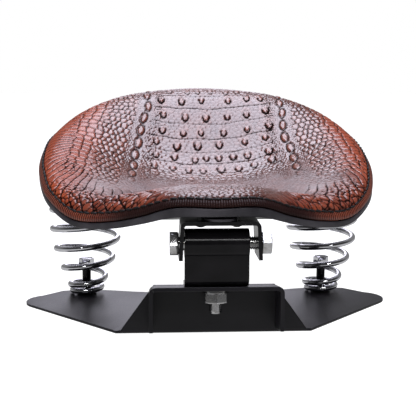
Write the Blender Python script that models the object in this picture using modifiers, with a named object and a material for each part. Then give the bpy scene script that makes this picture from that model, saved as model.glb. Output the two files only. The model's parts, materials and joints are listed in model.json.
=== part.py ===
"""Sprung solo saddle for a motorcycle: a leather seat on a pan that tilts on a front
hinge and rests at the back on two conical coil springs, all on a bent steel base plate.

Metres, +Z up. The nose points to -Y. The origin is at the middle of the footprint, on
the ground that the base plate stands on.
"""

import math

import bmesh
import bpy
import numpy as np
from mathutils import Matrix, Vector

MM = 0.001
GAP = 0.3 * MM

# Places along Y are counted from the front wall of the base plate.
WALL_Y = -102.0 * MM

# Base plate: flat sheet with two rounded wings and a wall bent up along its front edge.
PLATE_T = 2.0 * MM
PLATE_FRONT_HALF = 73.5 * MM
PLATE_HALF = 155.5 * MM
PLATE_TIP_Y = 101.0 * MM
PLATE_TIP_R = 21.0 * MM
PLATE_TIP_ARC = (-42, 66)
PLATE_SWELL = 15.0 * MM
PLATE_SWELL_WIDTH = 42.0 * MM
PLATE_BACK_Y = 126.0 * MM
WALL_TOP_HALF = 46.4 * MM
WALL_TOP_Z = 38.0 * MM
BEND_R = 2.5 * MM

# Front bracket: inverted channel welded to the wall, its top falling towards the rear.
CHANNEL_T = 3.0 * MM
CHANNEL_HALF = 50.0 * MM
CHANNEL_TOP_Z = 43.0 * MM
CHANNEL_LENGTH = 30.0 * MM
CHANNEL_SLOPE = math.radians(9.5)
CHANNEL_FOOT_Z = 8.8 * MM
CHANNEL_CORNER_R = 5.0 * MM

# Hinge block: a strap with a foot, an upright web and a rolled eye.
PIVOT_Y = -21.5 * MM
PIVOT_Z = 74.2 * MM
BLOCK_HALF = 23.8 * MM
BLOCK_T = 4.0 * MM
BLOCK_BEND_R = 6.0 * MM
EYE_R = 11.0 * MM
EYE_BORE_R = 7.8 * MM
BUSH_BORE_R = 5.3 * MM
FOOT_BOLT_Y = -13.0 * MM
FOOT_BOLT_END = 8.5 * MM

# M10 fasteners.
BOLT_R = 5.0 * MM
HEAD_AF = 16.0 * MM
HEAD_H = 6.0 * MM
NUT_H = 7.4 * MM
WASHER_R = 10.0 * MM
WASHER_T = 2.0 * MM

# Pivot bracket: a channel open downwards that straddles the hinge block.
BRACKET_SHIFT_X = 2.3 * MM
BRACKET_HALF = 29.2 * MM
BRACKET_T = 2.8 * MM
BRACKET_TOP_Z = 92.3 * MM
BRACKET_EAR_Z = 64.0 * MM
BRACKET_FRONT_Y = -36.0 * MM
BRACKET_BACK_Y = -4.0 * MM
BRACKET_CORNER_R = 4.0 * MM
EAR_SPLAY = 1.3 * MM

# Small screws that hold the pivot bracket.
SCREW_R = 2.5 * MM
SCREW_AF = 8.0 * MM
SCREW_SPREAD = 13.5 * MM
SCREW_Y = -10.5 * MM
SCREW_HEAD_Z = 102.3 * MM
SCREW_END = 4.6 * MM
SPACER_R = 12.0 * MM
SPACER_H = 1.6 * MM
SPACER_Y = -26.0 * MM

# Springs, wound right-handed, narrow at the foot.
SPRING_X = 105.5 * MM
SPRING_Y = 131.0 * MM
WIRE_R = 2.6 * MM
SPRING_FOOT_R = 15.0 * MM
SPRING_TOP_R = 32.0 * MM
SPRING_TURNS = 5.6
SPRING_PITCH = 17.6 * MM
CLOSED_PITCH = 5.0 * MM
OPENS_AT_TURN = 0.75
CLOSES_AT_TURN = 4.65
OPENING_TURNS = 0.8
CONE_H = 62.0 * MM
STEPS_PER_TURN = 16

# Spring posts: a black sleeve over a bolt with a bright head.
POST_R = 3.8 * MM
POST_BORE_R = 2.8 * MM
POST_FOOT_R = 9.0 * MM
POST_FOOT_H = 4.0 * MM
POST_TOP_Z = 27.5 * MM
POST_HEAD_AF = 12.0 * MM
POST_HEAD_H = 5.5 * MM

# Seat: sections every 15 degrees round a middle point, from the rear rim to the nose.
SEAT_MIDDLE_Y = 85.0 * MM
DISH_Z = 98.0 * MM
PAN_DISH_Z = 78.0 * MM
RIM_R = [156, 158, 162, 163, 158, 148, 140, 134, 125, 115, 113.5, 120, 122.5]
CREST_IN = [15, 15, 14, 13, 13, 13, 13, 14, 17, 22, 28, 32, 33]
CREST_Z = [181.5, 179.5, 174, 162, 146, 131, 118, 107.5, 102, 105.5, 110.5, 114.5, 115]
EDGE_Z = [161.5, 159.5, 154.5, 144, 132.5, 120.5, 109, 96, 85, 86.3, 92.8, 102, 102.3]
TRIM_H = [5, 5, 5, 5, 5, 5, 5, 5, 5, 5.5, 6, 7.5, 6.5]
PAN_CREST_Z = [158, 156, 150.5, 138.5, 123, 108.5, 97, 88, 83, 86, 91.5, 94.8, 95.2]
DISH_POWER = 1.5
SIDES = 40
DISH_RINGS = [0.16, 0.36, 0.54, 0.68, 0.8, 0.9, 1.0]
ROLL_SHARES = [0.4, 0.72]
PAN_RINGS = [0.16, 0.36, 0.55, 0.7, 0.82, 0.92, 1.0]
PAN_CREST_SHARE = 0.88
BAND_WIDTH = 7.5 * MM
LEATHER_T = 2.4 * MM
PAN_T = 2.5 * MM
TRIM_T = 2.8 * MM
STITCH_R = 0.7 * MM
RIVET_STAND = 1.6 * MM
FOAM_GAP = 1.2 * MM
TRIM_GAP = 0.8 * MM
PERCH_GAP = 1.2 * MM
PERCH_BLANK_H = 58.0 * MM
RIVET_ANGLES = [-126, -90, -36, 0, 36, 90, 126]
RIVET_RING = 4

# Hollows in the foam over the screw heads and the perch nuts.
SCREW_POCKET_R = 6.0 * MM
SCREW_POCKET_Z = 98.0 * MM
SCREW_POCKET_H = 14.0 * MM
PERCH_POCKET_R = 8.0 * MM
PERCH_POCKET_H = 16.0 * MM

# Perches: cups that the springs' top coils sit round, each held by a bolt and a nut.
PERCH_LIP = 5.0 * MM
PERCH_BORE_R = 3.0 * MM
PERCH_CHAMFER = 1.5 * MM
PERCH_AF = 10.0 * MM
PERCH_HEAD_H = 4.0 * MM
PERCH_NUT_H = 4.4 * MM
PERCH_NUT_STAND = 2.0 * MM
PERCH_BOLT_END = 5.2 * MM
PERCH_CUTTER_H = 60.0 * MM

parts = bpy.data.collections.new("sprung_solo_saddle")
cutters = bpy.data.collections.new("cutters")


def clear_scene():
    for item in list(bpy.data.objects):
        bpy.data.objects.remove(item, do_unlink=True)
    bpy.context.scene.collection.children.link(parts)
    bpy.context.scene.collection.children.link(cutters)


def finish_material(name, colour, roughness, metallic):
    material = bpy.data.materials.new(name)
    material.use_nodes = True
    shader = material.node_tree.nodes["Principled BSDF"]
    shader.inputs["Base Color"].default_value = (*colour, 1.0)
    shader.inputs["Roughness"].default_value = roughness
    shader.inputs["Metallic"].default_value = metallic
    return material


def put(name, mesh_data, material, parent=None, smooth=False, collection=parts):
    """Turn a bmesh into a named object with one material."""
    mesh = bpy.data.meshes.new(name)
    mesh_data.to_mesh(mesh)
    mesh_data.free()
    if material:
        mesh.materials.append(material)
    if smooth:
        mesh.shade_smooth()
        mesh.set_sharp_from_angle(angle=math.radians(35))
    item = bpy.data.objects.new(name, mesh)
    collection.objects.link(item)
    if parent:
        item.parent = parent
        item.matrix_parent_inverse = parent.matrix_world.inverted()
    return item


def cut(item, cutter):
    """Take a closed cutter away from an item with a Boolean modifier."""
    cutter.hide_render = True
    cutter.display_type = "WIRE"
    change = item.modifiers.new("cut", "BOOLEAN")
    change.operation = "DIFFERENCE"
    change.solver = "EXACT"
    change.object = cutter


def join(item, other):
    """Join a closed helper solid to an item with a Boolean modifier."""
    other.hide_render = True
    other.display_type = "WIRE"
    change = item.modifiers.new("join", "BOOLEAN")
    change.operation = "UNION"
    change.solver = "EXACT"
    change.object = other


def section_ring(radius, height, sides, corners=0, turn=0.0):
    """Points round the local Z axis; with corners the ring is a regular polygon whose
    flats lie at the given radius."""
    ring = []
    for step in range(sides):
        angle = 2 * math.pi * step / sides
        reach = radius
        if corners:
            wedge = 2 * math.pi / corners
            reach = radius / math.cos((angle % wedge) - wedge / 2)
        ring.append(
            (reach * math.cos(angle + turn), reach * math.sin(angle + turn), height)
        )
    return ring


def loft(mesh_data, rings, looped):
    """Skin rings of equal length; an open stack gets a cap at each end."""
    rows = [[mesh_data.verts.new(point) for point in ring] for ring in rings]
    count = len(rows[0])
    pairs = list(zip(rows, rows[1:]))
    if looped:
        pairs.append((rows[-1], rows[0]))
    for low, high in pairs:
        for step in range(count):
            after = (step + 1) % count
            mesh_data.faces.new((low[step], low[after], high[after], high[step]))
    if not looped:
        mesh_data.faces.new(list(reversed(rows[0])))
        mesh_data.faces.new(rows[-1])
    bmesh.ops.recalc_face_normals(mesh_data, faces=mesh_data.faces)


def turned(sections, placement, looped=False, sides=24, turn=0.0):
    """A body from (height, radius, corners) sections along the placement's Z axis."""
    mesh_data = bmesh.new()
    rings = [section_ring(r, h, sides, c, turn) for h, r, c in sections]
    loft(mesh_data, rings, looped)
    mesh_data.transform(placement)
    return mesh_data


def merged(bodies):
    """Put several separate bodies into one bmesh."""
    whole = bmesh.new()
    for body in bodies:
        scratch = bpy.data.meshes.new("scratch")
        body.to_mesh(scratch)
        body.free()
        whole.from_mesh(scratch)
        bpy.data.meshes.remove(scratch)
    return whole


def along(axis, centre):
    """A placement whose local Z runs along an axis through a centre."""
    turn = Vector(axis).to_track_quat("Z", "Y").to_matrix().to_4x4()
    return Matrix.Translation(centre) @ turn


def bolt_sections(af, head_h, radius, length, chamfer=0.6 * MM):
    """Hex head below zero, shank above it."""
    flat = af / 2
    return [
        (-head_h, flat * 0.94, 0),
        (-head_h + chamfer, flat, 6),
        (0.0, flat, 6),
        (0.0, radius, 0),
        (length - chamfer, radius, 0),
        (length, radius - chamfer, 0),
    ]


def nut_sections(af, height, bore, chamfer=0.6 * MM):
    flat = af / 2
    return [
        (0.0, bore, 0),
        (0.0, flat * 0.97, 0),
        (chamfer, flat, 6),
        (height - chamfer, flat, 6),
        (height, flat * 0.94, 0),
        (height, bore, 0),
    ]


def tube_sections(outer, inner, height):
    return [(0.0, inner, 0), (0.0, outer, 0), (height, outer, 0), (height, inner, 0)]


def cylinder(radius, centre, axis, length, sides=24):
    """A solid cylinder centred on a point, mostly for cutters."""
    mesh_data = bmesh.new()
    bmesh.ops.create_cone(
        mesh_data,
        cap_ends=True,
        segments=sides,
        radius1=radius,
        radius2=radius,
        depth=length,
    )
    mesh_data.transform(along(axis, centre))
    return mesh_data


def arc(centre, radius, start, end, steps):
    """Points on an arc in a plane, angles in degrees."""
    points = []
    for step in range(steps + 1):
        angle = math.radians(start + (end - start) * step / steps)
        points.append(
            (
                centre[0] + radius * math.cos(angle),
                centre[1] + radius * math.sin(angle),
            )
        )
    return points


# ---------------------------------------------------------------- base plate


def plate_outline():
    """Right half of the plate's outline, from the front corner to the back middle."""
    tip_x = PLATE_HALF - PLATE_TIP_R
    tip = arc((tip_x, PLATE_TIP_Y), PLATE_TIP_R, *PLATE_TIP_ARC, 8)
    swell = []
    # The back edge swells behind each spring and eases in towards the middle.
    for step in range(1, 9):
        x = tip[-1][0] * (1 - step / 9)
        rise = math.exp(-(((x - SPRING_X) / PLATE_SWELL_WIDTH) ** 2))
        swell.append((x, PLATE_BACK_Y + PLATE_SWELL * rise))
    return [(PLATE_FRONT_HALF, 0.0)] + tip + swell


def base_plate(material):
    half = plate_outline()
    whole = half + [(-x, y) for x, y in reversed(half)]
    sheet = bmesh.new()
    floor = [sheet.verts.new((x, y + WALL_Y, 0.0)) for x, y in whole]
    plate = sheet.faces.new(floor)
    if plate.normal.z < 0:
        plate.normal_flip()
    wall_top = [
        sheet.verts.new((side * WALL_TOP_HALF, WALL_Y, WALL_TOP_Z)) for side in (1, -1)
    ]
    sheet.faces.new((floor[0], wall_top[0], wall_top[1], floor[-1]))
    bmesh.ops.recalc_face_normals(sheet, faces=sheet.faces)
    fold = [
        edge for edge in sheet.edges if set(edge.verts) == {floor[0], floor[-1]}
    ]
    bmesh.ops.bevel(
        sheet,
        geom=fold,
        offset=BEND_R,
        segments=3,
        profile=0.5,
        affect="EDGES",
        material=-1,
    )
    up = max(sheet.faces, key=lambda face: face.calc_area())
    if up.normal.z < 0:
        bmesh.ops.reverse_faces(sheet, faces=sheet.faces)
    item = put("base_plate", sheet, material)
    thick = item.modifiers.new("sheet", "SOLIDIFY")
    thick.thickness = PLATE_T
    thick.offset = 1.0
    thick.use_even_offset = True
    return item


# ------------------------------------------------------------- front bracket


def channel_profile(half, top, foot, radius, splay=0.0):
    """Outer line of an inverted channel in X and Z, left foot to right foot."""
    left = arc((-half + radius, top - radius), radius, 180, 90, 4)
    right = [(-x, z) for x, z in reversed(left)]
    return [(-half - splay, foot)] + left + right + [(half + splay, foot)]


def channel(name, profile, thickness, front_y, length, drop, material, parent=None):
    """Run a channel profile backwards, falling by drop, and give it its thickness."""
    sheet = bmesh.new()
    front = [sheet.verts.new((x, front_y, z)) for x, z in profile]
    back = [sheet.verts.new((x, front_y + length, z - drop)) for x, z in profile]
    for step in range(len(profile) - 1):
        sheet.faces.new((front[step], front[step + 1], back[step + 1], back[step]))
    bmesh.ops.recalc_face_normals(sheet, faces=sheet.faces)
    top = max(sheet.faces, key=lambda face: face.calc_center_median().z)
    if top.normal.z < 0:
        bmesh.ops.reverse_faces(sheet, faces=sheet.faces)
    item = put(name, sheet, material, parent)
    thick = item.modifiers.new("sheet", "SOLIDIFY")
    thick.thickness = thickness
    thick.offset = -1.0
    thick.use_even_offset = True
    return item


def channel_top(y):
    """Height of the front bracket's upper face at a place counted from the wall."""
    return CHANNEL_TOP_Z - (y + CHANNEL_LENGTH) * math.tan(CHANNEL_SLOPE)


def foot_bolt_frame(height_over_top=0.0):
    """Placement on the front bracket at its bolt, local Z pointing down through it."""
    normal = Vector((0.0, math.sin(CHANNEL_SLOPE), math.cos(CHANNEL_SLOPE)))
    place = Vector((0.0, WALL_Y + FOOT_BOLT_Y, channel_top(FOOT_BOLT_Y)))
    return along(-normal, place + normal * height_over_top)


def front_bracket(material):
    profile = channel_profile(
        CHANNEL_HALF, CHANNEL_TOP_Z, CHANNEL_FOOT_Z, CHANNEL_CORNER_R
    )
    length = CHANNEL_LENGTH - GAP
    drop = length * math.tan(CHANNEL_SLOPE)
    item = channel(
        "front_bracket",
        profile,
        CHANNEL_T,
        WALL_Y - CHANNEL_LENGTH,
        length,
        drop,
        material,
    )
    hole = cylinder(BOLT_R + GAP, (0, 0, 0), (0, 0, 1), 30 * MM)
    hole.transform(foot_bolt_frame())
    cut(item, put("front_bracket_hole", hole, None, collection=cutters))
    return item


# --------------------------------------------------------------- hinge block


def block_line():
    """Middle line of the strap in Y and Z, from inside the eye down to the foot's end."""
    x_web = PIVOT_Y - 5.0 * MM
    slope = CHANNEL_SLOPE
    foot_lift = (BLOCK_T / 2 + GAP) / math.cos(slope)

    def foot_z(y):
        return channel_top(y) + foot_lift

    # The bend's centre is one bend radius behind the web and above the foot.
    centre_y = x_web + BLOCK_BEND_R
    centre_z = foot_z(centre_y) + BLOCK_BEND_R / math.cos(slope)
    bend = arc(
        (centre_y, centre_z), BLOCK_BEND_R, 180, 270 - math.degrees(slope), 5
    )
    return [(x_web, PIVOT_Z - 5 * MM)] + bend + [(-3.0 * MM, foot_z(-3.0 * MM))]


def hinge_block(material):
    sheet = bmesh.new()
    line = block_line()
    left = [sheet.verts.new((-BLOCK_HALF, y + WALL_Y, z)) for y, z in line]
    right = [sheet.verts.new((BLOCK_HALF, y + WALL_Y, z)) for y, z in line]
    for step in range(len(line) - 1):
        sheet.faces.new((left[step], left[step + 1], right[step + 1], right[step]))
    bmesh.ops.recalc_face_normals(sheet, faces=sheet.faces)
    strap = put("hinge_strap", sheet, None, collection=cutters)
    thick = strap.modifiers.new("sheet", "SOLIDIFY")
    thick.thickness = BLOCK_T
    thick.offset = 0.0
    thick.use_even_offset = True
    centre = (0.0, WALL_Y + PIVOT_Y, PIVOT_Z)
    eye = cylinder(EYE_R, centre, (1, 0, 0), 2 * BLOCK_HALF, sides=32)
    item = put("hinge_block", eye, material, smooth=True)
    join(item, strap)
    bore = cylinder(EYE_BORE_R, centre, (1, 0, 0), 3 * BLOCK_HALF)
    cut(item, put("hinge_block_bore", bore, None, collection=cutters))
    hole = cylinder(BOLT_R + GAP, (0, 0, 0), (0, 0, 1), 16 * MM)
    hole.transform(foot_bolt_frame())
    cut(item, put("hinge_block_hole", hole, None, collection=cutters))
    return item


def pivot_bush(material):
    place = along((1, 0, 0), (-BLOCK_HALF, WALL_Y + PIVOT_Y, PIVOT_Z))
    sections = tube_sections(EYE_BORE_R - GAP, BUSH_BORE_R, 2 * BLOCK_HALF)
    return put("pivot_bush", turned(sections, place, looped=True), material)


def foot_fasteners(material):
    head_lift = BLOCK_T + 2 * GAP
    length = head_lift + CHANNEL_T + WASHER_T + NUT_H + FOOT_BOLT_END
    turn = math.radians(30)
    bolt = turned(
        bolt_sections(HEAD_AF, HEAD_H, BOLT_R - 0.1 * MM, length),
        foot_bolt_frame(head_lift + GAP),
        turn=turn,
    )
    put("foot_bolt", bolt, material, smooth=True)
    under = CHANNEL_T + GAP
    washer = turned(
        tube_sections(WASHER_R, BOLT_R + GAP, WASHER_T),
        foot_bolt_frame(-under),
        looped=True,
    )
    put("foot_washer", washer, material, smooth=True)
    nut = turned(
        nut_sections(HEAD_AF, NUT_H, BOLT_R + GAP),
        foot_bolt_frame(-under - WASHER_T - GAP),
        looped=True,
        turn=turn,
    )
    put("foot_nut", nut, material, smooth=True)


# ------------------------------------------------------------- pivot bracket


def pivot_bracket(material, parent):
    profile = channel_profile(
        BRACKET_HALF, BRACKET_TOP_Z, BRACKET_EAR_Z, BRACKET_CORNER_R, EAR_SPLAY
    )
    profile = [(x + BRACKET_SHIFT_X, z) for x, z in profile]
    depth = BRACKET_BACK_Y - BRACKET_FRONT_Y
    item = channel(
        "pivot_bracket",
        profile,
        BRACKET_T,
        WALL_Y + BRACKET_FRONT_Y,
        depth,
        0.0,
        material,
        parent,
    )
    centre = (0.0, WALL_Y + PIVOT_Y, PIVOT_Z)
    bore = cylinder(BOLT_R + GAP, centre, (1, 0, 0), 4 * BRACKET_HALF)
    cut(item, put("pivot_bracket_bore", bore, None, collection=cutters))
    holes = merged(
        [
            cylinder(SCREW_R + GAP, place, (0, 0, 1), 20 * MM, sides=12)
            for place in screw_places(BRACKET_TOP_Z)
        ]
    )
    cut(item, put("pivot_bracket_holes", holes, None, collection=cutters))
    return item


def screw_places(z):
    return [
        (BRACKET_SHIFT_X + side * SCREW_SPREAD, WALL_Y + SCREW_Y, z)
        for side in (-1, 1)
    ]


def pivot_fasteners(material, parent):
    """Pivot bolt with its head on the left ear and a nut on the right ear."""
    left = BRACKET_SHIFT_X - BRACKET_HALF - EAR_SPLAY - GAP
    right = BRACKET_SHIFT_X + BRACKET_HALF + EAR_SPLAY + GAP
    centre_y = WALL_Y + PIVOT_Y
    turn = math.radians(-10)
    bolt = turned(
        bolt_sections(HEAD_AF, HEAD_H, BOLT_R - 0.1 * MM, right + NUT_H - left - GAP),
        along((1, 0, 0), (left, centre_y, PIVOT_Z)),
        turn=turn,
    )
    put("pivot_bolt", bolt, material, parent, smooth=True)
    nut = turned(
        nut_sections(HEAD_AF, NUT_H, BOLT_R + GAP),
        along((1, 0, 0), (right, centre_y, PIVOT_Z)),
        looped=True,
        turn=turn,
    )
    put("pivot_nut", nut, material, parent, smooth=True)


def bracket_fasteners(material, parent):
    """Two small screws through pan and bracket, their nuts below the bracket."""
    foot_z = BRACKET_TOP_Z - BRACKET_T - GAP
    length = SCREW_HEAD_Z - foot_z + SCREW_END
    for word, (x, y, _) in zip(("left", "right"), screw_places(0.0)):
        sections = [
            (-2.4 * MM, 2.4 * MM, 0),
            (-1.6 * MM, 4.2 * MM, 0),
            (0.0, 4.6 * MM, 0),
            (0.0, SCREW_R, 0),
            (length, SCREW_R, 0),
        ]
        screw = turned(sections, along((0, 0, -1), (x, y, SCREW_HEAD_Z)), sides=12)
        put(f"bracket_screw_{word}", screw, material, parent, smooth=True)
        nut = turned(
            nut_sections(SCREW_AF, 4.0 * MM, SCREW_R + GAP, 0.4 * MM),
            along((0, 0, -1), (x, y, foot_z)),
            looped=True,
            sides=12,
        )
        put(f"bracket_nut_{word}", nut, material, parent, smooth=True)


# ------------------------------------------------------------------- springs


def smooth_step(value):
    value = min(max(value, 0.0), 1.0)
    return value * value * (3 - 2 * value)


def spring_radius(z):
    """Outer radius at a height: a cone that eases into the wide top coils."""
    rise = min(1.0, max(0.0, (z - PLATE_T - WIRE_R) / CONE_H))
    widen = math.sin(rise * math.pi / 2) ** 1.15
    return SPRING_FOOT_R + (SPRING_TOP_R - SPRING_FOOT_R) * widen


def spring_points(side):
    """Middle line of the wire, from its left foot end upwards."""
    points = []
    z = PLATE_T + GAP + WIRE_R
    steps = round(SPRING_TURNS * STEPS_PER_TURN)
    for step in range(steps + 1):
        turn = step / STEPS_PER_TURN
        angle = math.pi + 2 * math.pi * turn
        reach = spring_radius(z) - WIRE_R
        x = side * SPRING_X + reach * math.cos(angle)
        y = WALL_Y + SPRING_Y + reach * math.sin(angle)
        points.append((x, y, z))
        opening = smooth_step((turn - OPENS_AT_TURN) / OPENING_TURNS)
        closing = 1 - smooth_step((turn - CLOSES_AT_TURN) / OPENING_TURNS)
        pitch = CLOSED_PITCH + (SPRING_PITCH - CLOSED_PITCH) * opening * closing
        z += pitch / STEPS_PER_TURN
    return points


def spring(name, side, material):
    curve = bpy.data.curves.new(name, "CURVE")
    curve.dimensions = "3D"
    line = curve.splines.new("POLY")
    points = spring_points(side)
    line.points.add(len(points) - 1)
    for knot, place in zip(line.points, points):
        knot.co = (*place, 1.0)
    curve.bevel_depth = WIRE_R
    curve.bevel_resolution = 2
    curve.use_fill_caps = True
    curve.materials.append(material)
    item = bpy.data.objects.new(name, curve)
    parts.objects.link(item)
    return item


SPRING_TOP_Z = max(z for _, _, z in spring_points(1)) + WIRE_R


def spring_posts(black, bright):
    for word, side in (("left", -1), ("right", 1)):
        foot = (side * SPRING_X, WALL_Y + SPRING_Y, PLATE_T + GAP)
        rise = POST_TOP_Z - foot[2]
        sections = [
            (0.0, POST_BORE_R, 0),
            (0.0, POST_FOOT_R - MM, 0),
            (MM, POST_FOOT_R, 0),
            (POST_FOOT_H, POST_FOOT_R, 0),
            (POST_FOOT_H, POST_R, 0),
            (rise, POST_R, 0),
            (rise, POST_BORE_R, 0),
        ]
        sleeve = turned(sections, along((0, 0, 1), foot), looped=True)
        put(f"spring_post_{word}", sleeve, black, smooth=True)
        head = (foot[0], foot[1], POST_TOP_Z + GAP)
        bolt = turned(
            bolt_sections(
                POST_HEAD_AF,
                POST_HEAD_H,
                POST_BORE_R - GAP,
                head[2] - foot[2],
                0.4 * MM,
            ),
            along((0, 0, -1), head),
        )
        put(f"post_bolt_{word}", bolt, bright, smooth=True)


# ---------------------------------------------------------------------- seat


def around(values, angle):
    """Smooth value at an angle in degrees, from a half table mirrored to a full turn."""
    count = len(values) - 1
    place = (angle % 360) / 15.0
    base = math.floor(place)
    part = place - base

    def at(index):
        index %= 2 * count
        return values[index] if index <= count else values[2 * count - index]

    a, b, c, d = (at(base + k) for k in (-1, 0, 1, 2))
    curve = 2 * b + (c - a) * part
    curve += (2 * a - 5 * b + 4 * c - d) * part**2
    curve += (3 * b - a - 3 * c + d) * part**3
    return curve / 2 * MM


def dish(share):
    """Rise of the dish from its middle to the crest, both shares from 0 to 1."""
    return smooth_step(share**DISH_POWER)


def seat_point(angle, reach, z):
    """A place from an angle off the rear, a reach from the seat's middle and a height."""
    turn = math.radians(angle)
    x = reach * math.sin(turn)
    y = WALL_Y + SEAT_MIDDLE_Y + reach * math.cos(turn)
    return (x, y, z)


def seat_angles():
    return [360 * step / SIDES for step in range(SIDES)]


def cover_rings():
    """Outer leather surface as rings from the dish to the lower edge. The last ring but
    one is the sewn seam."""
    rings = []
    for share in DISH_RINGS:
        ring = []
        for angle in seat_angles():
            crest = around(RIM_R, angle) - around(CREST_IN, angle)
            rise = around(CREST_Z, angle) - DISH_Z
            ring.append(seat_point(angle, crest * share, DISH_Z + rise * dish(share)))
        rings.append(ring)
    for share in [*ROLL_SHARES, 1.0]:
        ring = []
        for angle in seat_angles():
            ring.append(roll_point(angle, share * seam_roll(angle)))
        rings.append(ring)
    rings.append([roll_point(angle, 90) for angle in seat_angles()])
    return np.array(rings)


def roll_point(angle, roll):
    """A point on the rolled edge: 0 is the crest, 90 the lower edge of the leather."""
    bend = math.radians(roll)
    width = around(CREST_IN, angle)
    crest = around(RIM_R, angle) - width
    drop = around(CREST_Z, angle) - around(EDGE_Z, angle)
    z = around(CREST_Z, angle) - drop * (1 - math.cos(bend))
    return seat_point(angle, crest + width * math.sin(bend), z)


def seam_roll(angle):
    """Roll angle of the seam, one band width up from the lower edge."""
    edge = np.array(roll_point(angle, 90))
    roll = 90.0
    width = 0.0
    while roll > 5 and width < BAND_WIDTH:
        roll -= 0.5
        width = np.linalg.norm(np.array(roll_point(angle, roll)) - edge)
    return roll


def ring_normals(rings):
    """Outward unit normals of a grid of rings, by differences along and across."""
    across = np.gradient(rings, axis=0)
    round_it = np.roll(rings, -1, axis=1) - np.roll(rings, 1, axis=1)
    normal = np.cross(round_it, across)
    normal /= np.linalg.norm(normal, axis=2, keepdims=True)
    top = normal[0, :, 2].mean()
    return normal if top > 0 else -normal


def level(normals):
    """Turn unit normals level, as they are where the leather's edge hangs plumb."""
    flat = normals * np.array([1.0, 1.0, 0.0])
    return flat / np.linalg.norm(flat, axis=1, keepdims=True)


def seat_shell(name, rings, normals, depth, material, parent, cap):
    """A skin of even depth below a grid of rings, closed in the middle when capped."""
    inner = rings - normals * depth
    mesh_data = bmesh.new()
    stack = [list(ring) for ring in rings] + [list(ring) for ring in inner[::-1]]
    loft(mesh_data, stack, looped=not cap)
    return put(name, mesh_data, material, parent, smooth=True)


def pan_rings():
    """Underside of the pan as rings from its middle to its rim."""
    rings = []
    for share in PAN_RINGS:
        ring = []
        for angle in seat_angles():
            rim = around(RIM_R, angle) - TRIM_T - 2 * GAP
            crest = PAN_CREST_SHARE * rim
            reach = rim * share
            high = around(PAN_CREST_Z, angle)
            low = around(EDGE_Z, angle) - around(TRIM_H, angle) + 0.4 * MM
            if reach < crest:
                z = PAN_DISH_Z + (high - PAN_DISH_Z) * dish(reach / crest)
            else:
                over = (reach - crest) / (rim - crest)
                z = high + (low - high) * over**2
            ring.append(seat_point(angle, reach, z))
        rings.append(ring)
    return np.array(rings)


def seat_pan(rings, normals, material, parent):
    item = seat_shell("seat_pan", rings, normals, -PAN_T, material, parent, True)
    holes = [
        cylinder(SCREW_R + GAP, place, (0, 0, 1), 24 * MM, sides=12)
        for place in screw_places(BRACKET_TOP_Z)
    ]
    for side in (-1, 1):
        place = (side * SPRING_X, WALL_Y + SPRING_Y, SPRING_TOP_Z)
        holes.append(cylinder(SCREW_R + 0.8 * MM, place, (0, 0, 1), 80 * MM, sides=12))
    cut(item, put("seat_pan_holes", merged(holes), None, collection=cutters))
    return item


def foam_cushion(cover, cover_normals, pan, pan_normals, material, parent):
    top = cover - cover_normals * (LEATHER_T + FOAM_GAP)
    bottom = (pan + pan_normals * (PAN_T + FOAM_GAP))[:-1]
    stack = [list(ring) for ring in top] + [list(ring) for ring in bottom[::-1]]
    mesh_data = bmesh.new()
    loft(mesh_data, stack, looped=False)
    item = put("foam_cushion", mesh_data, material, parent, smooth=True)
    pockets = [
        cylinder(SCREW_POCKET_R, (x, y, SCREW_POCKET_Z), (0, 0, 1), SCREW_POCKET_H, 12)
        for x, y, _ in screw_places(0.0)
    ]
    for side in (-1, 1):
        place = (side * SPRING_X, WALL_Y + SPRING_Y, perch_nut_z())
        pockets.append(cylinder(PERCH_POCKET_R, place, (0, 0, 1), PERCH_POCKET_H, 12))
    cut(item, put("foam_pockets", merged(pockets), None, collection=cutters))
    return item


def perch_nut_z():
    """Height just clear of the pan's upper face over a spring."""
    return pan_height(SPRING_X, SPRING_Y) + PAN_T + FOAM_GAP


def pan_height(x, y):
    """Height of the pan's underside at a place counted from the front wall."""
    reach = math.hypot(x, y - SEAT_MIDDLE_Y)
    angle = math.degrees(math.atan2(x, y - SEAT_MIDDLE_Y))
    crest = PAN_CREST_SHARE * (around(RIM_R, angle) - TRIM_T - 2 * GAP)
    high = around(PAN_CREST_Z, angle)
    return PAN_DISH_Z + (high - PAN_DISH_Z) * dish(min(1.0, reach / crest))


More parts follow.
